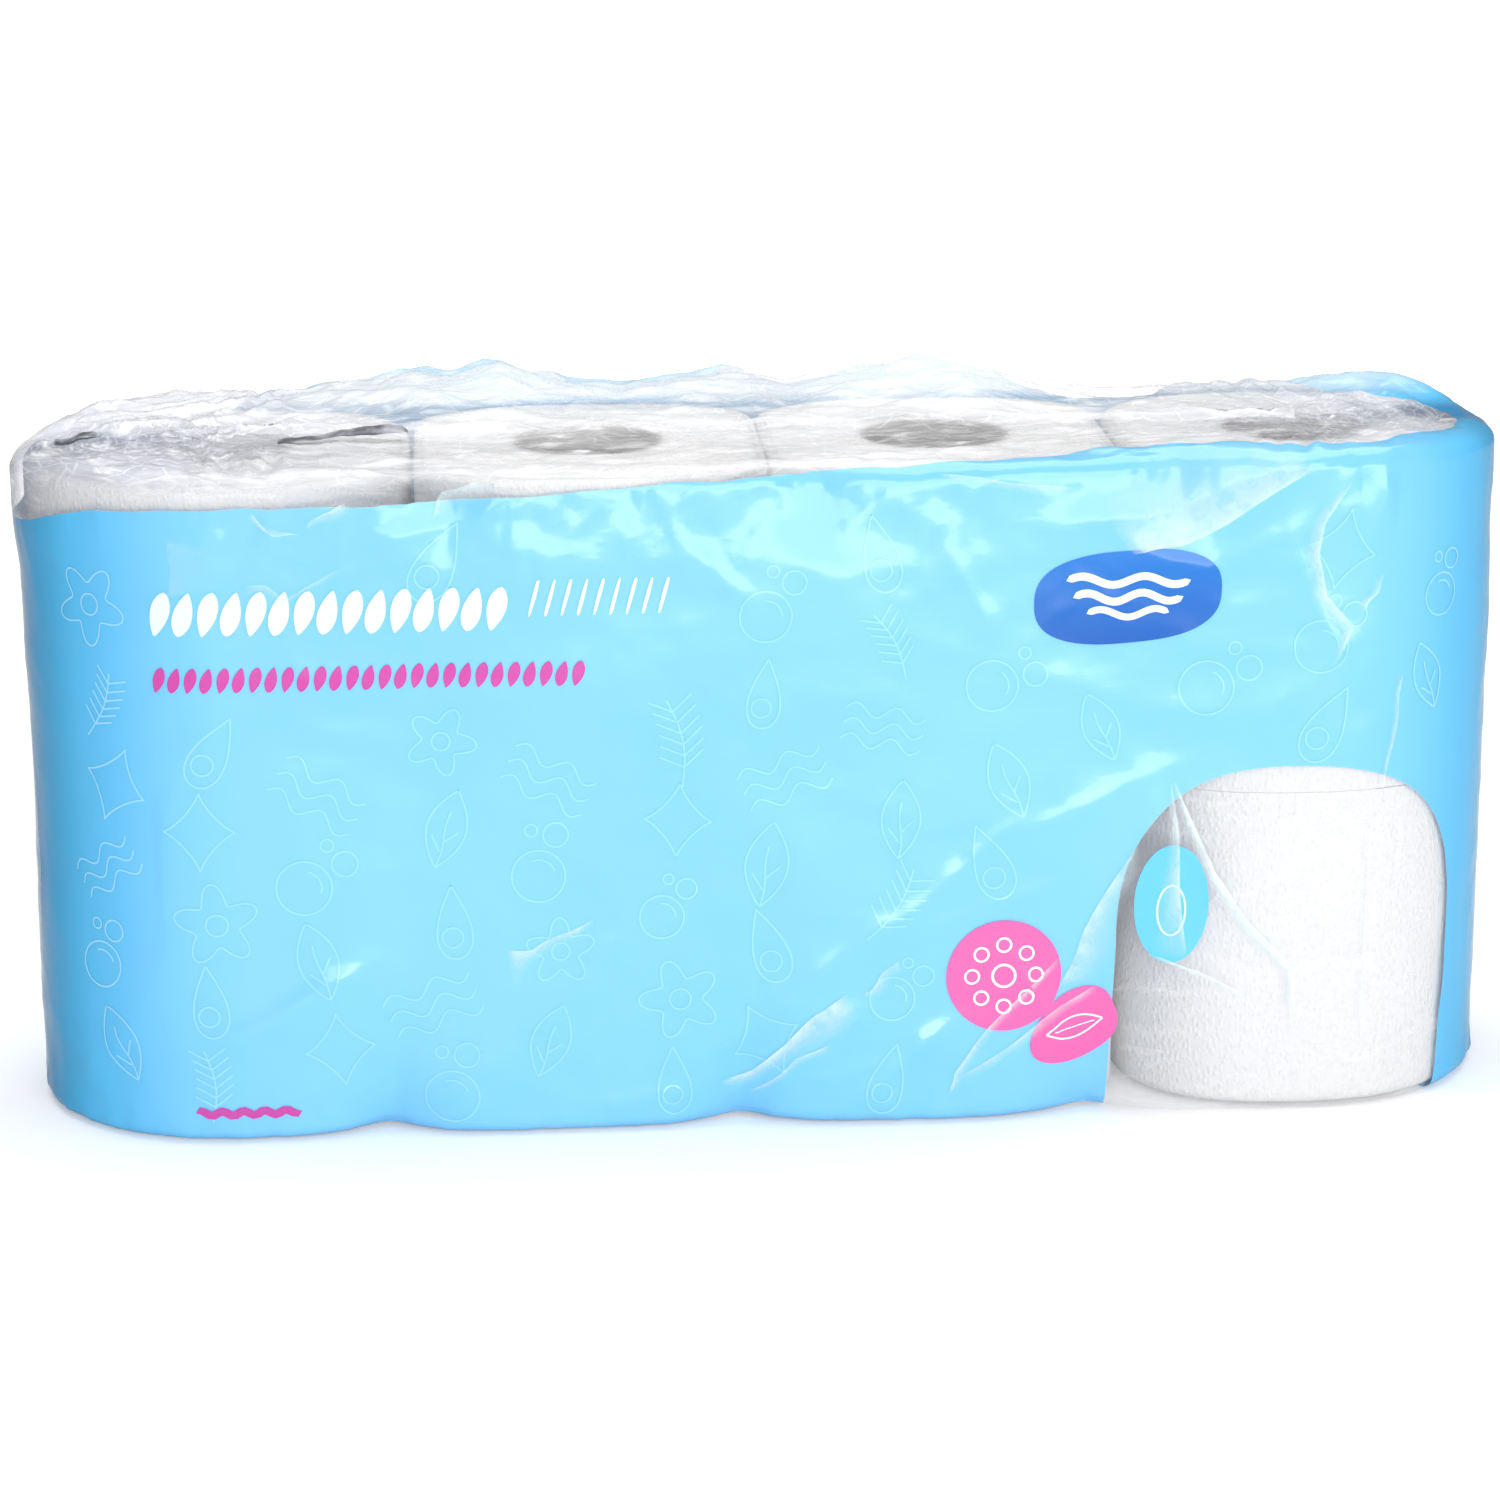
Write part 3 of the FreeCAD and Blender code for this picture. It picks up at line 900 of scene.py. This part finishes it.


# painted highlights of glare: pale streaks laid where the film is folded, each from a crisp edge to a soft
# one, in millimetres:
# strength, points (u, z) of the crisp edge, points of the soft edge
glareStreaks = [
    (0.55, [(-54, 66.5), (-64, 62), (-72, 57.5), (-80, 58)], [(-54, 65), (-66, 57), (-74, 52), (-78, 43)]),
    (0.75, [(-17, 14), (-8, 17.5), (3, 26), (10, 35), (20, 42)],
     [(-15, 10), (-7, 14), (6, 22), (17, 27), (24, 34)]),
    (0.60, [(-8, 10), (5, 21), (15, 27)], [(-7, 9), (6, 19), (16, 25)]),
    (0.45, [(25, 41), (30, 46), (35, 52)], [(28, 39), (33, 43), (37, 50)]),
    (0.60, [(51, 9), (52, 16), (63, 29.5), (83, 51)], [(51.5, 8.5), (55, 15), (65, 28), (84.5, 50)]),
    (0.55, [(54, 14), (76, 29), (94, 42)], [(56, 12), (78, 26.5), (95, 40)]),
    (0.60, [(84, 41), (90, 57), (106, 86)], [(95, 42), (101, 56), (107, 78)]),
    (0.60, [(116, 104), (118.5, 80), (121, 50)], [(115.5, 103), (113.5, 78), (110, 50)]),
    (0.95, [(117, 104), (122, 92), (129, 76), (140, 60), (154, 45), (154, 27)],
     [(116, 103), (119.5, 91), (126, 74), (137, 57), (151, 42.5), (152, 26)]),
    (0.70, [(112, 50), (124, 46), (139, 37.5)], [(112, 49), (124, 43.5), (139, 36)]),
    (0.60, [(156, 194), (136, 184.5), (118, 174.5), (103, 173)],
     [(150, 201), (132, 203), (112, 202), (89, 190)]),
    (0.60, [(167, 190), (159, 180), (157, 172), (160, 159), (169, 149), (163, 139)],
     [(164, 191), (154, 180), (152, 171), (155, 157), (163, 148), (162, 140)]),
    (0.55, [(178, 164), (172, 154)], [(175.5, 164), (169, 155)]),
    (0.55, [(185, 134), (182.5, 118), (179, 97)], [(183, 134), (180, 118), (178, 97)]),
    (0.35, [(177, 98), (175, 60), (175, 20)], [(176, 98), (173.6, 60), (174, 20)]),
    (0.60, [(-149, 190), (-144, 183.5), (-135, 183)], [(-150, 189), (-149, 187), (-146, 186)]),
    (0.50, [(-134, 185), (-129, 190), (-122, 192)], [(-133, 185), (-126, 187), (-119, 190)]),
    (0.18, [(-173, 183), (-173, 165)], [(-155, 178), (-158, 168)]),
    (0.40, [(-152, 169), (-145, 168.5), (-141, 165), (-122, 174)],
     [(-152, 167), (-146, 165), (-142, 162.5), (-122, 172.5)]),
    (0.50, [(-98, 187), (-95, 195), (-84, 197)], [(-97, 187), (-88, 191), (-72, 194)]),
    (0.45, [(47, 197), (86, 191)], [(47, 194.5), (86, 188)]),
    (0.28, [(-245, 124), (-239, 100), (-234, 75), (-237, 50)],
     [(-262, 124), (-262, 100), (-262, 75), (-262, 50)]),
    (0.40, [(241, 160), (236, 140), (240, 120)], [(258, 160), (258, 140), (258, 120)]),
]


# Each painted glare streak is a strip of quads between its two edges; fade falls from its strength to 0.
def buildGlareStreaks():
    across, steps = 7, 26
    allU, allZ, fades, faces = [], [], [], []
    way = np.linspace(0, 1, across)[:, None]
    t = np.linspace(0, 1, steps)
    for number, (strength, *bothEdges) in enumerate(glareStreaks):
        start = number * across * steps
        edges = []
        for edge in bothEdges:
            edge = np.array(edge, float) * mm
            at = np.linspace(0, 1, len(edge))
            edges.append([np.interp(t, at, edge[:, 0]), np.interp(t, at, edge[:, 1])])
        bow = 0.0004 * np.sin(t * 9 + start)
        allU.append(edges[0][0] + (edges[1][0] - edges[0][0]) * way + bow)
        allZ.append(edges[0][1] + (edges[1][1] - edges[0][1]) * way - bow)
        fades.append(strength * (1 - way) ** 1.3 * np.clip(np.minimum(t, 1 - t) * 9 + 0.1, 0, 1))
        faces.append(gridFaces(across, steps, False) + start)
    u, z = np.concatenate(allU).ravel(), np.concatenate(allZ).ravel()
    piece = meshObject("film_glare_streaks", onFilm(u, z, art["glareLift"]), np.concatenate(faces))
    setAttribute(piece, "fade", np.concatenate(fades))
    return piece


# painted highlight: a pale, glossy, partly clear sheet whose alpha follows each streak's fade
def glareStreakMaterial():
    n = Nodes("paintedGlareFilm")
    ragged = n.ramp(n.noise(n.place(), 130, 3), [(0.30, 0.45), (0.55, 1.0)])
    n.toShader(n.times(n.attribute("fade"), ragged), "Alpha")
    n.set(Base_Color=(0.78, 0.95, 0.99, 1), Roughness=0.25, IOR=1.5)
    return n.made


roll = {
    "around": 300,            # points round a roll
    "rim": 0.0022,            # radius of the soft rim at the top
    "footRim": 0.0040,        # and at the base
    "innerRim": 0.0003,       # and where the two layers meet
    "fullness": 2.8,          # power of a pressed roll's rounded square: 2 would be a circle
    "corner": 40,             # power of the smooth minimum of that and the flats
    "tailStep": 0.0005,       # of the last sheet
    "tailFade": 2.2,          # angle over which that step fades
    "tailAngles": [-118, -64, -131, -74],
    "endWave": 0.00035,       # height of the waves in the top end
    "play": 0.0001,           # between the core and the paper
}


# Places round a squeezed roll: a circle, or a rounded square of power fullness on a side that a
# neighbour presses, held flat through a smooth minimum, less the fading step of its last sheet.
def rollOutline(low, high, centreX, turn, inset):
    radius = (high.y - low.y) / 2 - inset
    angle = np.arange(roll["around"]) / roll["around"] * 2 * math.pi
    cosine, sine = np.cos(angle), np.sin(angle)
    reachRight = (high.x - centreX - inset) / np.maximum(cosine, 1e-3)
    reachLeft = (centreX - low.x - inset) / np.maximum(-cosine, 1e-3)
    flat = np.minimum(np.where(cosine > 0, reachRight, 9.0), np.where(cosine < 0, reachLeft, 9.0))
    reach = np.where(cosine > 0, high.x - centreX, centreX - low.x) - inset
    full = np.where(reach < radius - 0.0003, roll["fullness"], 2.0)
    rounded = radius * (np.abs(cosine) ** full + np.abs(sine) ** full) ** (-1 / full)
    distance = (rounded ** -roll["corner"] + flat ** -roll["corner"]) ** (-1 / roll["corner"])
    tail = (angle - turn) % (2 * math.pi)
    distance = distance - roll["tailStep"] * smoothStep(2 * math.pi - roll["tailFade"], 2 * math.pi, tail)
    return distance, angle


# A roll's section, from the bore's top down, out along the bottom, up the side and back in: its share
# of the way from the bore to the side, its inset from the side, and its height. Share 2 is the side.
def rollSection(bottom, top, foot, head):
    quarter = np.linspace(0, math.pi / 2, 7)
    section = [(0.0, 0.0, z) for z in np.linspace(top, bottom, 6)]
    section += [(t, 0.0, bottom) for t in np.linspace(0, 1, 10)[1:-1]]
    section += [(2.0, foot * (1 - math.sin(q)), bottom + foot * (1 - math.cos(q))) for q in quarter]
    section += [(2.0, 0.0, z) for z in np.linspace(bottom + foot, top - head, 34)[1:]]
    section += [(2.0, head * (1 - math.cos(q)), top - head * (1 - math.sin(q))) for q in quarter[1:]]
    section += [(t, 0.0, top) for t in np.linspace(1, 0, 24)[1:-1]]
    return section


# The rows joined into a tube, its last row joined to its first.
def closedTube(name, rows, smooth):
    around = len(rows[0])
    faces = gridFaces(len(rows) + 1, around, True) % (len(rows) * around)
    return meshObject(name, np.stack(rows).reshape(-1, 3), faces, smooth)


# A roll as one closed surface round its core: bore, ends with soft rims, and side.
def buildRoll(layer, i):
    low, high = rollBox(layer, i)
    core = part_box("core_" + rollLabel(layer, i))
    centreX = (core[0].x + core[1].x) / 2
    bore = (core[1].x - core[0].x) / 2 + roll["play"]
    turn = math.radians(roll["tailAngles"][(i + 3 * layer) % 4])
    foot, head = (roll["footRim"], roll["innerRim"]) if layer == 0 else (roll["innerRim"], roll["rim"])
    bottom, top = low.z, high.z
    radius = (high.y - low.y) / 2
    rows, uvs, ends = [], [], []
    for share, inset, z in rollSection(bottom, top, foot, head):
        side, angle = rollOutline(low, high, centreX, turn, inset)
        inner = side - (foot if z < (bottom + top) / 2 else head)
        distance = side if share > 1 else bore + (inner - bore) * share
        isEnd = 0 < share <= 1
        wave = roll["endWave"] * np.sin(angle * 3 + distance * 260) if isEnd and z == top else 0
        level = z + wave + 0 * angle
        rows.append(np.stack([centreX + distance * np.cos(angle), distance * np.sin(angle), level], -1))
        uvs.append(np.stack([angle * radius, (distance if isEnd else z) + 0 * angle], -1))
        ends.append(np.full(len(angle), 1.0 if isEnd else 0.0))
    piece = closedTube("tissue_roll_" + rollLabel(layer, i), rows, True)
    setWrappedUv(piece, np.stack(uvs), radius, radius, 2 * math.pi * radius)
    setAttribute(piece, "rollEnd", np.stack(ends))
    return piece


def tissueMaterial():
    n = Nodes("embossedTissue")
    vector = n.uv()
    end = n.attribute("rollEnd")
    # fine dashes in rows all over, and small petals set further apart
    dots = n.cells(n.stretched(vector, (1.0, 0.55, 1.0)), 820, "F1")
    dot = n.ramp(dots, [(0.10, 1.0), (0.60, 0.0)])
    petals = n.cells(n.stretched(vector, (1.0, 0.8, 1.0)), 62, "F1")
    petal = n.ramp(petals, [(0.10, 0.0), (0.15, 1.0), (0.20, 0.0)])
    side = n.line(petal, -0.6, dot)
    turns = n.noise(n.stretched(vector, (14.0, 900.0, 1.0)), 1.0, 4, 0.6)
    fibre = n.noise(vector, 900, 3)
    side = n.line(fibre, 0.3, side)
    height = n.mix(end, side, n.times(turns, 1.4))
    n.bump(height, 0.45, 0.0005)
    shade = n.ramp(turns, [(0.3, 0.0), (0.7, 1.0)])
    endColour = n.mix(shade, srgb(228, 227, 226), srgb(250, 250, 249))
    # painted shade: the petals' pressed lines are coloured a little darker and bluer on the sides
    sideColour = n.mix(n.times(petal, 0.4), srgb(224, 224, 224), srgb(215, 216, 219))
    n.toShader(n.mix(end, sideColour, endColour), "Base Color")
    n.set(Roughness=0.92, Sheen_Weight=0.15)
    return n.made


tube = {"wall": 0.0011, "soft": 0.0002, "around": 96}


# A cardboard tube: a small wall section with bevelled edges, carried round the axis.
def buildCore(layer, i):
    low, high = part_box("core_" + rollLabel(layer, i))
    outer = (high.x - low.x) / 2
    inner, soft = outer - tube["wall"], tube["soft"]
    section = [(outer - soft, low.z), (outer, low.z + soft), (outer, high.z - soft), (outer - soft, high.z),
               (inner + soft, high.z), (inner, high.z - soft), (inner, low.z + soft), (inner + soft, low.z)]
    angle = np.arange(tube["around"]) / tube["around"] * 2 * math.pi
    centreX = (low.x + high.x) / 2
    rows = [np.stack([centreX + r * np.cos(angle), r * np.sin(angle), z + 0 * angle], -1) for r, z in section]
    return closedTube("cardboard_core_" + rollLabel(layer, i), rows, False)


def cardboardMaterial():
    n = Nodes("greyCardboard")
    vector = n.place()
    fibre = n.noise(n.stretched(vector, (1.0, 1.0, 0.3)), 900, 4, 0.7)
    tone = n.line(n.noise(vector, 60, 3), 0.4, n.times(fibre, 0.6))
    tone = n.ramp(tone, [(0.35, 0.0), (0.65, 1.0)])
    n.toShader(n.mix(tone, srgb(120, 112, 104), srgb(158, 148, 136)), "Base Color")
    n.bump(fibre, 0.4, 0.0003)
    n.set(Roughness=0.9)
    return n.made


# the camera: its focal length and the picture's width in pixels, its place, and its angles in radians
view = {
    "focalPixels": 4205.9, "picture": 1500, "sensor": 36.0,
    "place": (-0.0848, -1.2334, 0.4460), "down": 0.2731, "aside": 0.0655, "roll": -0.0065,
}


# A pinhole camera from its place, its angle below the horizon, and its turn aside and about itself.
def buildCamera():
    down, aside, twist = view["down"], view["aside"], view["roll"]
    forward = Vector((math.sin(aside) * math.cos(down), math.cos(aside) * math.cos(down), -math.sin(down)))
    right = Vector((math.cos(aside), -math.sin(aside), 0))
    up = right.cross(forward)
    right, up = (math.cos(twist) * right + math.sin(twist) * up,
                 -math.sin(twist) * right + math.cos(twist) * up)
    data = bpy.data.cameras.new("camera")
    data.sensor_width = view["sensor"]
    data.lens = view["focalPixels"] / view["picture"] * view["sensor"]
    data.clip_start, data.clip_end = 0.05, 20
    camera = bpy.data.objects.new("camera", data)
    bpy.context.scene.collection.objects.link(camera)
    turned = Matrix((right, up, -forward)).transposed().to_4x4()
    camera.matrix_world = Matrix.Translation(view["place"]) @ turned
    bpy.context.scene.camera = camera


lamps = [
    # name, place, aim, width, height, watts
    ("softboxFront", (0.25, -2.3, 0.85), (0, 0, 0.1), 2.2, 1.5, 39.5),
    ("softboxTop", (0.0, 0.2, 1.5), (0, 0, 0.1), 1.8, 1.2, 19.0),
    ("softboxLow", (0.35, -1.0, 0.10), (0.0, 0, 0.1), 1.0, 0.14, 2.2),
]


studio = {
    "surround": 0.28,         # strength of the white all round, where the camera doesn't see it
    "floorHalf": 6.0, "floorDrop": 0.0004,
    "floorColour": (0.86, 0.86, 0.87, 1),
    "floorGlow": 0.30,        # what the seen floor glows near the pack
    "floorFar": 0.6,          # and how much more it glows further away
    "glowFrom": 0.3, "glowOver": 0.9,
}


def buildLamps():
    for name, place, aim, width, height, watts in lamps:
        data = bpy.data.lights.new(name, "AREA")
        data.shape = "RECTANGLE"
        data.size, data.size_y = width, height
        data.energy = watts
        lamp = bpy.data.objects.new(name, data)
        bpy.context.scene.collection.objects.link(lamp)
        turned = (Vector(aim) - Vector(place)).to_track_quat("-Z", "Y").to_matrix().to_4x4()
        lamp.matrix_world = Matrix.Translation(place) @ turned


# The world is white where it is seen, and dimmer as a light.
def buildWorld():
    n = Nodes("studio", "worlds", "OutputWorld", "Background")
    n.set(Color=(1, 1, 1, 1))
    n.toShader(n.line(n.seen(), 1.0 - studio["surround"], studio["surround"]), "Strength")
    bpy.context.scene.world = n.made


# A white floor that adds a glow of its own where it is seen, more so further from the pack.
def buildFloor():
    half = studio["floorHalf"]
    corners = [(-half, -half, 0), (half, -half, 0), (half, half, 0), (-half, half, 0)]
    floor = meshObject("floor", corners, [(0, 1, 2, 3)], False)
    floor.data.transform(Matrix.Translation((0, 0, filmLow.z - studio["floorDrop"])))
    n = Nodes("whiteFloor")
    n.set(Base_Color=studio["floorColour"], Roughness=0.6)
    glow, both = n.add("Emission"), n.add("AddShader")
    n.link(n.shader.outputs[0], both.inputs[0])
    x, y = n.split(n.place())[:2]
    away = n.math("SQRT", n.math("ADD", n.times(x, x), n.times(y, y)))
    away = n.share(away, studio["glowFrom"], studio["glowOver"])
    lit = n.times(n.seen(), n.line(away, studio["floorFar"], studio["floorGlow"]))
    n.link(lit, glow.inputs["Strength"])
    n.link(glow.outputs[0], both.inputs[1])
    n.link(both.outputs[0], n.out.inputs[0])
    floor.data.materials.append(n.made)


wrapFilm = filmMaterial()
finishPiece(buildFilm("film_sleeve", "sleeve", film["around"]), wrapFilm, "film_wrap")
finishPiece(buildFilm("film_top", "top", film["aroundTop"]), wrapFilm, "film_wrap")
finishPiece(buildFoldShadowSlots(), foldShadowMaterial(), "film_wrap")
finishPiece(buildGlareStreaks(), glareStreakMaterial(), "film_wrap")
buildArtwork()
print("stage: film and its print")

tissue = tissueMaterial()
cardboard = cardboardMaterial()
for layer in range(len(layerNames)):
    for i in range(rollsAcross):
        finishPiece(buildRoll(layer, i), tissue, "paper_roll_" + rollLabel(layer, i))
        finishPiece(buildCore(layer, i), cardboard, "core_" + rollLabel(layer, i))
print("stage: rolls and cores")

buildCamera()
buildLamps()
buildWorld()
buildFloor()
scene = bpy.context.scene
scene.view_settings.view_transform = "Standard"
